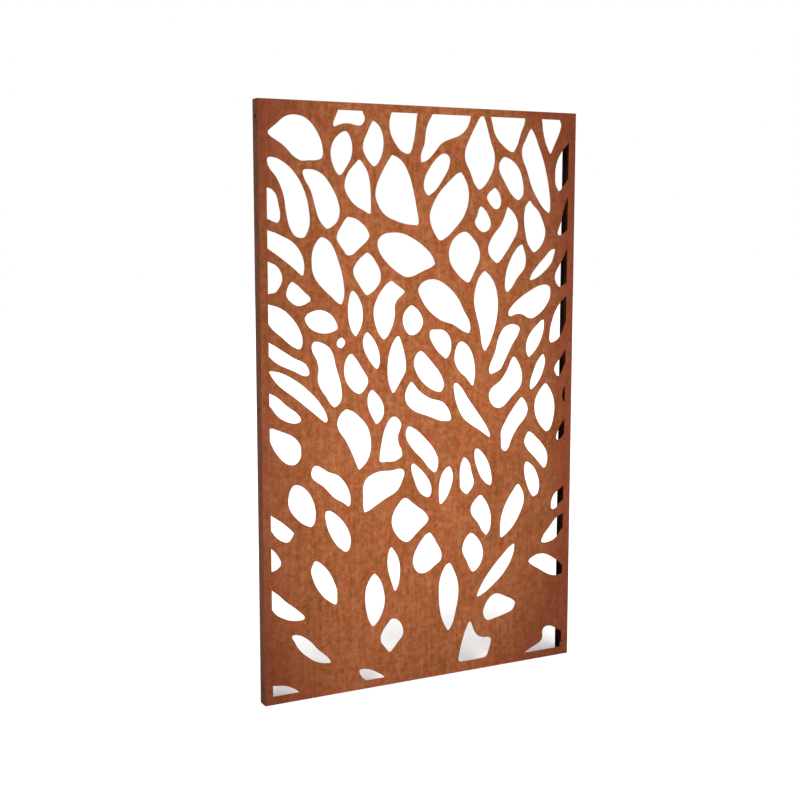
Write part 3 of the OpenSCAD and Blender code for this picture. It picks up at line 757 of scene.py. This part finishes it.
class Finish:
    """A material under construction, on Object coordinates."""

    def __init__(self, name):
        self.material = bpy.data.materials.new(name)
        self.material.use_nodes = True
        self.tree = self.material.node_tree
        self.tree.nodes.clear()
        self.place = self.add("TexCoord").outputs["Object"]

    def add(self, kind, inputs=None, **settings):
        """Adds a node, sets it up, and fills its inputs with values or links."""
        made = self.tree.nodes.new("ShaderNode" + kind)
        for key, value in settings.items():
            setattr(made, key, value)
        for key, value in (inputs or {}).items():
            if isinstance(value, bpy.types.NodeSocket):
                self.tree.links.new(value, made.inputs[key])
            else:
                made.inputs[key].default_value = value
        return made

    def sum(self, value, factor, added):
        """value times factor plus added."""
        inputs = {0: value, 1: factor, 2: added}
        return self.add("Math", inputs, operation="MULTIPLY_ADD").outputs[0]

    def layered(self, layers, base):
        """base plus the value of each layer times its weight."""
        for value, weight in layers:
            base = self.sum(value, weight, base)
        return base

    def times(self, value, factor):
        """value times factor."""
        return self.add("Math", {0: value, 1: factor}, operation="MULTIPLY").outputs[0]

    def power(self, value, exponent):
        """value to the given power."""
        return self.add("Math", {0: value, 1: exponent}, operation="POWER").outputs[0]

    def axis(self, name):
        """One coordinate of the place, in metres."""
        return self.add("SeparateXYZ", {0: self.place}).outputs[name]

    def magnitude(self, value):
        """value without its sign."""
        return self.add("Math", {0: value}, operation="ABSOLUTE").outputs[0]

    def grid(self, size, seed):
        """The place in cells of the given size along X, Y and Z, shifted by seed."""
        cells = [1 / one for one in size]
        shift = [seed * one for one in SEED_SHIFT]
        made = self.add("VectorMath", {0: self.place, 1: cells, 2: shift}, operation="MULTIPLY_ADD")
        return made.outputs[0]

    def noise(self, size, seed, detail, rough=0.5):
        """Soft random tone about 0.5, with blotches of the given size along X, Y and Z."""
        inputs = {"Vector": self.grid(size, seed), "Scale": 1.0, "Detail": detail, "Roughness": rough}
        return self.add("TexNoise", inputs).outputs[0]

    def spots(self, size, seed, radius, share):
        """1 inside round spots, one to a cell of the given size, in the given share of cells."""
        cell = self.add("TexVoronoi", {"Vector": self.grid(size, seed), "Scale": 1.0})
        near = self.remap(cell.outputs["Distance"], SPOT_CORE * radius, radius, 1, 0)
        draw = self.add("SeparateColor", {0: cell.outputs["Color"]}).outputs[0]
        chosen = self.add("Math", {0: draw, 1: share}, operation="LESS_THAN").outputs[0]
        return self.times(near, chosen)

    def remap(self, value, start, end, low, high):
        """Goes smoothly from low to high while value goes from start to end."""
        inputs = {"Value": value, "From Min": start, "From Max": end, "To Min": low, "To Max": high}
        return self.add("MapRange", inputs, interpolation_type="SMOOTHSTEP").outputs[0]

    def ramp(self, value, stops):
        """Colour that runs through stops, each a place and a colour."""
        made = self.add("ValToRGB", {0: value})
        stops = list(stops)
        band = made.color_ramp.elements
        while len(band) < len(stops):
            band.new(1.0)
        for element, (place, colour) in zip(band, stops):
            element.position = place
            element.color = (*colour, 1)
        return made.outputs[0]

    def mix(self, factor, first, second, mode="MIX"):
        """First colour with the second over it, as far as factor."""
        inputs = {0: factor, MIX_A: self.with_alpha(first), MIX_B: self.with_alpha(second)}
        made = self.add("Mix", inputs, data_type="RGBA", blend_type=mode)
        return made.outputs[MIX_RESULT]

    def tint(self, factor, colour, by):
        """Colour multiplied by another one, as far as factor."""
        return self.mix(factor, colour, by, "MULTIPLY")

    @staticmethod
    def with_alpha(colour):
        """A colour with its alpha, or a socket as it is."""
        if isinstance(colour, bpy.types.NodeSocket):
            return colour
        return (*colour, 1)

    def grey(self, value):
        """A grey colour of the given value."""
        return self.add("CombineColor", {0: value, 1: value, 2: value}).outputs[0]

    def surface(self, colour, rough, height, depth, metallic=0.0):
        """Closes the material with colour, roughness, and bumps of the given height and depth."""
        bump = self.add("Bump", {"Height": height, "Distance": depth, "Strength": 1.0})
        inputs = {"Base Color": colour, "Roughness": rough, "Normal": bump.outputs[0]}
        inputs |= {"Metallic": metallic, "Specular IOR Level": SHINE}
        shader = self.add("BsdfPrincipled", inputs)
        output = self.add("OutputMaterial", {0: shader.outputs[0]})
        output.is_active_output = True
        return self.material


def wander(finish, size, reach):
    """Bends the place by a slow noise, so that no streak is straight."""
    slow = finish.add("TexNoise", {"Vector": finish.place, "Scale": 1 / size, "Detail": 1.0})
    centred = finish.add(
        "VectorMath", {0: slow.outputs["Color"], 1: (0.5, 0.5, 0.5)}, operation="SUBTRACT"
    )
    bent = finish.add(
        "VectorMath",
        {0: centred.outputs[0], 1: (reach, reach, reach), 2: finish.place},
        operation="MULTIPLY_ADD",
    )
    finish.place = bent.outputs[0]


def border(finish, patch):
    """Near 0 over most of the face and 1 in its corners: the third power of the way from the
    middle to a side plus the fourth power of that to the top or foot, so that the band is
    widest in the corners. It is a little broader at the right and at the foot, and the patch
    noise makes its inner side uneven."""
    across = finish.sum(finish.axis("X"), 1 / HALF_WIDTH, BORDER_LEAN)
    up = finish.sum(finish.axis("Z"), 1 / BORDER_MIDDLE, -1.0)
    beside = finish.power(finish.magnitude(across), 3.0)
    above = finish.power(finish.magnitude(up), 4.0)
    reach = finish.layered([(patch, 0.35), (above, 0.55), (beside, 0.75)], -0.175)
    return finish.remap(reach, 0.36, 0.90, 0, 1)


def painted_light_falloff(finish):
    """Painted fall-off of light on the face, as a tone factor: 1 near the middle, less towards
    both sides, the top and the foot. Its middle lies a little to the left, so the right is darker."""
    across = finish.magnitude(finish.sum(finish.axis("X"), 1.0, 0.04))
    up = finish.axis("Z")
    sides = finish.remap(across, 0.16, 0.60, 1.0, FALLOFF_SIDE_TONE)
    top = finish.remap(up, 1.00, 1.95, 1.0, FALLOFF_TOP_TONE)
    foot = finish.remap(up, 0.70, -0.15, 1.0, FALLOFF_FOOT_TONE)
    return finish.times(finish.times(sides, top), foot)


def rusted_face(rust):
    """Matt orange brown rust. Its tone is a sum of noises: mottles of 5 to 20 mm, thin upright
    streaks, specks of 2 to 4 mm, fine grain and broad patches. Over it lie slow drifts of hue,
    dark flakes and pits and a few fresh spots. The border is calmer and redder. A painted
    fall-off of light darkens the face towards its sides, top and foot. The cut walls, where the
    cut attribute is 1, are darker, with fine lines through the sheet's thickness."""
    finish = Finish("rusted_face")
    patch = finish.noise((0.13, 0.13, 0.20), seed=3, detail=2.0)
    edge = border(finish, patch)
    fade = painted_light_falloff(finish)
    wander(finish, 0.07, 0.012)
    mottle = finish.noise((0.0155, 0.0155, 0.0155), seed=1, detail=4.0)
    flake = finish.noise((0.0065, 0.0065, 0.0075), seed=9, detail=6.0, rough=0.7)
    flake = finish.remap(flake, 0.50, 0.57, 0, 1)
    streak = finish.noise((0.010, 0.010, 0.17), seed=2, detail=1.0)
    grain = finish.noise((0.0018, 0.0018, 0.0022), seed=4, detail=4.0, rough=0.65)
    speck = finish.noise((0.0034, 0.0034, 0.0038), seed=10, detail=3.0, rough=0.7)
    speck = finish.remap(speck, 0.46, 0.54, -0.07, 0.07)

    # Mottle, grain, streak and patch lie about 0.5, so these bases bring the fine tone to 0 on
    # average and the whole tone to 0.5
    fine = finish.layered([(speck, 1.0), (grain, 0.7), (streak, 0.48), (mottle, 1.0)], -1.09)
    fine = finish.times(fine, finish.sum(edge, -0.4, 1.0))
    tone = finish.layered([(fine, 1.0), (patch, 0.35)], 0.325)

    tones = (rust.deep, rust.dark, rust.middle, rust.light, rust.pale)
    colour = finish.ramp(tone, zip((0.0, 0.3, 0.5, 0.7, 1.0), tones))
    hue = finish.noise((0.040, 0.040, 0.060), seed=5, detail=2.0)
    colour = finish.tint(finish.remap(hue, 0.50, 0.72, 0, 1), colour, YELLOWER)
    colour = finish.tint(finish.remap(hue, 0.50, 0.28, 0, 1), colour, REDDER)
    colour = finish.tint(finish.times(flake, 0.55), colour, FLAKE_TINT)
    colour = finish.tint(1.0, colour, LIFT)
    fresh = finish.spots((0.018, 0.018, 0.022), seed=6, radius=0.27, share=0.20)
    colour = finish.mix(finish.times(fresh, 0.65), colour, rust.fresh)
    pits = finish.spots((0.006, 0.006, 0.007), seed=7, radius=0.22, share=0.25)
    colour = finish.mix(finish.times(pits, 0.5), colour, rust.deep)
    colour = finish.tint(edge, colour, BORDER_TINT)
    # Painted fall-off of light: darker towards the sides, the top and the foot
    colour = finish.tint(1.0, colour, finish.grey(fade))

    cut = finish.add("Attribute", attribute_name="cut").outputs["Fac"]
    kerf = finish.noise((0.0005, 0.010, 0.0005), seed=8, detail=2.0)
    wall = finish.ramp(kerf, ((0.3, WALL_DARK), (0.7, WALL_RUST)))
    colour = finish.mix(finish.times(cut, 0.7), colour, wall)

    lines = finish.times(cut, kerf)
    bumps = [(mottle, 0.8), (grain, 1.0), (speck, 1.2), (lines, 0.6), (flake, -0.25)]
    height = finish.layered(bumps, finish.times(pits, -0.5))
    rough = finish.remap(tone, 0.2, 0.8, 0.82, 0.94)
    return finish.surface(colour, rough, height, FACE_BUMPS)


def dull_rust_and_shade(finish, rust):
    """Dull brown rust of the folded pieces, with upright streaks. Its darker, greyer tone is partly
    painted shade. Returns colour and height.
    """
    wander(finish, 0.05, 0.008)
    mottle = finish.noise((0.014, 0.014, 0.022), seed=11, detail=3.0)
    streak = finish.noise((0.008, 0.008, 0.12), seed=12, detail=2.0)
    grain = finish.noise((0.0016, 0.0016, 0.0020), seed=13, detail=4.0, rough=0.65)
    tone = finish.layered([(grain, 0.4), (streak, 0.7), (mottle, 0.8)], -0.45)
    dark = [DULL_DARK * one for one in rust.dull]
    light = [DULL_LIGHT * one for one in rust.dull]
    colour = finish.ramp(tone, ((0.1, dark), (0.5, rust.dull), (0.9, light)))
    spots = finish.spots((0.018, 0.018, 0.024), seed=14, radius=0.25, share=0.15)
    colour = finish.mix(finish.times(spots, 0.45), colour, rust.dark)
    return colour, finish.sum(grain, 0.8, mottle)


def rusted_channel(rust):
    """Dull rust outside, its tone partly painted shade. Inside the fold, painted shade: a near black
    tone given as mill scale, with a bloom of rust, lighter towards the web. The whole is darker
    towards the top and the foot, as a painted fall-off of light.
    """
    finish = Finish("rusted_channel")
    across = finish.magnitude(finish.axis("X"))
    depth = finish.magnitude(finish.sum(finish.axis("Y"), 1.0, -MID_DEPTH))
    web = HALF_WIDTH - CHANNEL_WALL
    flange = HALF_DEPTH - CHANNEL_WALL
    # Painted shade on the inner faces of the channel, where the deep shade falls
    in_painted_shade = finish.times(
        finish.remap(across, web + INNER_SHADE_START, web + INNER_SHADE_END, 1, 0),
        finish.remap(depth, flange + INNER_SHADE_START, flange + INNER_SHADE_END, 1, 0),
    )
    # The painted shade grows lighter towards the web
    fold = finish.remap(across, web - SHADE_EASING_BAND, web, 0, 0.55)
    colour, height = dull_rust_and_shade(finish, rust)
    bloom = finish.noise((0.020, 0.020, 0.050), seed=15, detail=3.0)
    skin = finish.mix(finish.remap(bloom, 0.50, 0.80, 0, 0.3), rust.scale, rust.dull)
    skin = finish.mix(fold, skin, rust.dull)
    up = finish.axis("Z")
    # Painted fall-off of light: darker towards the top and much darker at the foot
    fade = finish.times(finish.remap(up, 1.2, 1.8, 1, 0.85), finish.remap(up, 0.25, 0.0, 1, 0.55))
    colour = finish.tint(1.0, colour, finish.grey(fade))
    colour = finish.mix(in_painted_shade, colour, skin)
    return finish.surface(colour, FOLDED_ROUGHNESS, height, FOLDED_BUMPS)


def rusted_angle_and_shade(rust, name, shade):
    """Dull rust of the rails and cleats, its tone partly painted shade, darkened to the given share of
    its tone.
    """
    finish = Finish(name)
    colour, height = dull_rust_and_shade(finish, rust)
    colour = finish.tint(1.0, colour, (shade, shade, shade))
    return finish.surface(colour, FOLDED_ROUGHNESS, height, FOLDED_BUMPS)


def dulled_zinc(name, base):
    """Zinc plating gone dull, with cloudy tone and stains of rust."""
    finish = Finish(name)
    cloud = finish.noise((0.004, 0.004, 0.004), seed=21, detail=3.0)
    stain = finish.noise((0.009, 0.009, 0.012), seed=22, detail=3.0)
    dark = [ZINC_DARK * one for one in base]
    colour = finish.ramp(cloud, ((0.3, dark), (0.7, base)))
    colour = finish.mix(finish.remap(stain, 0.50, 0.68, 0, 0.85), colour, ZINC_STAIN)
    rough = finish.remap(stain, 0.45, 0.65, 0.42, 0.85)
    return finish.surface(colour, rough, cloud, ZINC_BUMPS, ZINC_METALLIC)


# ---------------------------------------------------------------- operators


def settings():
    """The user's settings of the screen."""
    return bpy.context.scene.laser_screen


class SCREEN_OT_face_sheet(Operator):
    """Cut face with softened edges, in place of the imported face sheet"""

    bl_idname = "screen_piece.face_sheet"
    bl_label = "Face sheet"

    def execute(self, context):
        sheet = settings().sheet
        plan, after = front_outlines(*node_mesh("face_sheet"), sheet.cut_radius)
        plan, after = smoothed_outlines(plan, after, sheet.outline_step, sheet.outline_least)
        skin, faces, corner, depth = softened_sheet(
            plan, after, FACE_LOW.y, FACE_HIGH.y, sheet.cut_radius, sheet.cut_steps
        )
        material = rusted_face(settings().rust)
        piece = make_piece("cut_face", skin, faces, ["face_sheet"], material)
        cut = piece.data.attributes.new("cut", "FLOAT", "POINT")
        cut.data.foreach_set("value", depth)
        count = len(plan)
        last = len(skin) - count

        def sharp(one, other):
            """True for the edges of both flats and for those down the cut at a corner."""
            flat = (np.maximum(one, other) < count) | (np.minimum(one, other) >= last)
            fold = (one % count == other % count) & corner[one % count]
            return flat | fold

        mark_sharp(piece.data, sharp)
        return {"FINISHED"}


class SCREEN_OT_channels(Operator):
    """Folded side channels with eased edges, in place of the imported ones"""

    bl_idname = "screen_piece.channels"
    bl_label = "Side channels"

    def execute(self, context):
        material = rusted_channel(settings().rust)
        for name in CHANNELS:
            eased_copy("folded_" + name, name, material)
        return {"FINISHED"}


class SCREEN_OT_rails(Operator):
    """Top and bottom rails with eased edges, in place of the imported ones"""

    bl_idname = "screen_piece.rails"
    bl_label = "Rails"

    def execute(self, context):
        material = rusted_angle_and_shade(settings().rust, "rusted_rail", RAIL_SHADE)
        for name in RAILS:
            eased_copy("folded_" + name, name, material)
        return {"FINISHED"}


class SCREEN_OT_cleats(Operator):
    """Corner cleats with eased edges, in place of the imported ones"""

    bl_idname = "screen_piece.cleats"
    bl_label = "Corner cleats"

    def execute(self, context):
        material = rusted_angle_and_shade(settings().rust, "rusted_cleat", CLEAT_SHADE)
        for name in CLEATS:
            eased_copy("angle_" + name, name, material)
        return {"FINISHED"}


class SCREEN_OT_studs(Operator):
    """Threaded weld studs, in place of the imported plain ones"""

    bl_idname = "screen_piece.studs"
    bl_label = "Weld studs"

    def execute(self, context):
        sizes = settings().fasteners
        material = dulled_zinc("zinc_thread", sizes.stud_zinc)
        for node, pitch in (("face_studs", sizes.face_pitch), ("cleat_studs", sizes.cleat_pitch)):
            fastener_group(
                "threaded_" + node, node, material,
                lambda seat: stud_rings(seat, pitch, sizes.stud_sides), loop=False,
            )
        return {"FINISHED"}


class SCREEN_OT_nuts(Operator):
    """Flange nuts with chamfered corners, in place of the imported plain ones"""

    bl_idname = "screen_piece.nuts"
    bl_label = "Flange nuts"

    def execute(self, context):
        sizes = settings().fasteners
        material = dulled_zinc("zinc_nut", sizes.nut_zinc)
        for node in ("face_nuts", "cleat_nuts"):
            fastener_group(
                "flanged_" + node, node, material,
                lambda seat: nut_rings(seat, sizes.nut_sides), loop=True,
            )
        return {"FINISHED"}


def floor_material():
    """Pale floor. A camera or a mirror sees it near white, with the screen's shadow, and it
    throws little light back up at the screen."""
    finish = Finish("pale_floor")
    seen = seen_directly(finish)
    pale = finish.add("BsdfDiffuse", {"Color": (FLOOR_SEEN, FLOOR_SEEN, FLOOR_SEEN, 1)})
    quiet = finish.add("BsdfDiffuse", {"Color": (FLOOR_THROWN, FLOOR_THROWN, FLOOR_THROWN, 1)})
    both = finish.add("MixShader", {0: seen, 1: quiet.outputs[0], 2: pale.outputs[0]})
    finish.add("OutputMaterial", {0: both.outputs[0]})
    return finish.material


def seen_directly(finish):
    """1 for rays of the camera, of mirrors and through glass."""
    path = finish.add("LightPath")
    seen = path.outputs["Is Camera Ray"]
    for name in ("Is Glossy Ray", "Is Transmission Ray"):
        seen = finish.add("Math", {0: seen, 1: path.outputs[name]}, operation="MAXIMUM").outputs[0]
    return seen


class WorldFinish(Finish):
    """The same way of adding nodes, for the world."""

    def __init__(self, world):
        world.use_nodes = True
        self.tree = world.node_tree
        self.tree.nodes.clear()


class SCREEN_OT_studio(Operator):
    """Pale floor, plain soft light and the camera"""

    bl_idname = "screen_piece.studio"
    bl_label = "Studio"

    def execute(self, context):
        studio = settings().studio
        scene = context.scene
        self.add_floor(scene, studio)
        softness = studio.light_softness
        self.add_light(
            scene, "key_light", studio.key_azimuth, studio.key_height, studio.key_strength, softness
        )
        self.add_light(
            scene, "rear_light", studio.rear_azimuth, studio.rear_height, studio.rear_strength, softness
        )
        self.add_world(scene, studio)
        self.add_camera(scene, studio)
        scene.view_settings.view_transform = "Standard"
        return {"FINISHED"}

    @staticmethod
    def add_floor(scene, studio):
        """Square floor under the screen."""
        half = studio.floor_size / 2
        mesh = bpy.data.meshes.new("floor")
        corners = [(-half, -half, 0), (half, -half, 0), (half, half, 0), (-half, half, 0)]
        mesh.from_pydata(corners, [], [(0, 1, 2, 3)])
        mesh.materials.append(floor_material())
        floor = bpy.data.objects.new("floor", mesh)
        scene.collection.objects.link(floor)

    @staticmethod
    def add_light(scene, name, azimuth, height, strength, softness):
        """Distant light, turned to the left by azimuth and raised by height."""
        lamp = bpy.data.lights.new(name, "SUN")
        lamp.energy = strength
        lamp.angle = softness
        light = bpy.data.objects.new(name, lamp)
        light.rotation_euler = (math.pi / 2 - height, 0, -azimuth)
        scene.collection.objects.link(light)

    @staticmethod
    def add_world(scene, studio):
        """Even light from all round, which the camera and mirrors see as white."""
        world = bpy.data.worlds.new("white_room")
        scene.world = world
        finish = WorldFinish(world)
        even = finish.add("Background", {0: (1, 1, 1, 1), 1: studio.room_light})
        white = finish.add("Background", {0: (1, 1, 1, 1), 1: 1.0})
        seen = seen_directly(finish)
        both = finish.add("MixShader", {0: seen, 1: even.outputs[0], 2: white.outputs[0]})
        finish.add("OutputWorld", {0: both.outputs[0]})

    @staticmethod
    def add_camera(scene, studio):
        """Camera on the left in front of the face, looking down a little."""
        data = bpy.data.cameras.new("camera")
        data.lens = studio.camera_lens
        camera = bpy.data.objects.new("camera", data)
        camera.location = studio.camera_place
        camera.rotation_euler = (math.pi / 2 - studio.camera_tilt, 0, -studio.camera_turn)
        scene.collection.objects.link(camera)
        scene.camera = camera


class VIEW3D_PT_screen(Panel):
    """Sidebar panel that lists the pieces of the screen"""

    bl_label = "Laser Cut Screen"
    bl_space_type = "VIEW_3D"
    bl_region_type = "UI"
    bl_category = "Screen"

    def draw(self, context):
        for step in STEPS:
            self.layout.operator(step.bl_idname)


STEPS = (
    SCREEN_OT_face_sheet,
    SCREEN_OT_channels,
    SCREEN_OT_rails,
    SCREEN_OT_cleats,
    SCREEN_OT_studs,
    SCREEN_OT_nuts,
    SCREEN_OT_studio,
)
CLASSES = (
    SheetSettings,
    FastenerSettings,
    RustSettings,
    StudioSettings,
    ScreenSettings,
    *STEPS,
    VIEW3D_PT_screen,
)


def register():
    for one in CLASSES:
        bpy.utils.register_class(one)
    bpy.types.Scene.laser_screen = PointerProperty(type=ScreenSettings)


def unregister():
    del bpy.types.Scene.laser_screen
    for one in reversed(CLASSES):
        bpy.utils.unregister_class(one)


def main():
    """Builds every piece and the stage."""
    register()
    bpy.ops.screen_piece.face_sheet()
    bpy.ops.screen_piece.channels()
    bpy.ops.screen_piece.rails()
    bpy.ops.screen_piece.cleats()
    bpy.ops.screen_piece.studs()
    bpy.ops.screen_piece.nuts()
    bpy.ops.screen_piece.studio()


if __name__ == "__main__":
    main()
